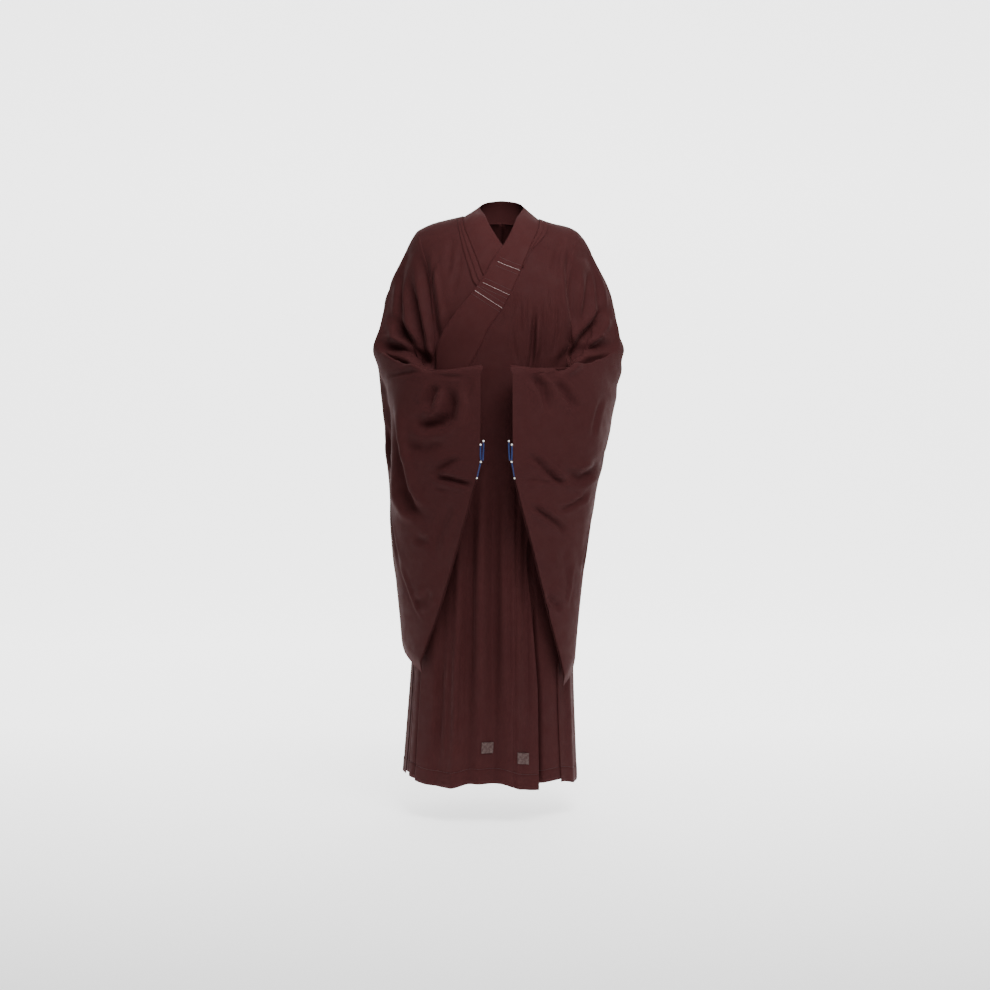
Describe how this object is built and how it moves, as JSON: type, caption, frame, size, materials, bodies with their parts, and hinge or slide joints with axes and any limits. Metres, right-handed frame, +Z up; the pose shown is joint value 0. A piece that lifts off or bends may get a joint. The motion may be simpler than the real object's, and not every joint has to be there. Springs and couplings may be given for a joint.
{
  "type": "buddhist monk robe",
  "caption": "Full-length temple robe worn closed: crossed front with a layered collar band, hanging bag sleeves joined at the waist, long hem with side gores, hollow inside.",
  "frame": {"origin": "Middle of the neck opening on the shoulder line, where the robe rests on its wearer.", "axes": "+Z up, -Y the front with the crossed collar, +X the wearer's left."},
  "size_m": [0.5567, 0.4111, 1.3024],
  "materials": {
    "body_cloth": "plain weave, matt",
    "sleeve_cloth": "plain weave, matt",
    "collar_cloth": "plain weave, faced and stitched",
    "patch": "thin, sheer",
    "cord": "twisted thread",
    "knot": "tied thread"
  },
  "bodies": {
    "root": {"body_left": "body_cloth", "body_right": "body_cloth", "overlap_front": "body_cloth", "collar_band": "collar_cloth", "collar_strip_mid": "collar_cloth", "collar_strip_outer": "collar_cloth", "side_gore_left": "body_cloth", "side_gore_right": "body_cloth", "sleeve_left": "sleeve_cloth", "sleeve_right": "sleeve_cloth", "sleeve_left_lower": "sleeve_cloth", "sleeve_right_lower": "sleeve_cloth", "hem_patch_middle": "patch", "hem_patch_side": "patch", "cuff_cord_right_front": "cord", "cuff_cord_right_back": "cord", "cuff_cord_right_stem": "cord", "cord_knot_right_1": "knot", "cord_knot_right_2": "knot", "cord_knot_right_3": "knot", "cord_knot_right_4": "knot", "cuff_cord_left_front": "cord", "cuff_cord_left_back": "cord", "cuff_cord_left_stem": "cord", "cord_knot_left_1": "knot", "cord_knot_left_2": "knot", "cord_knot_left_3": "knot", "cord_knot_left_4": "knot"}
  },
  "joints": []
}
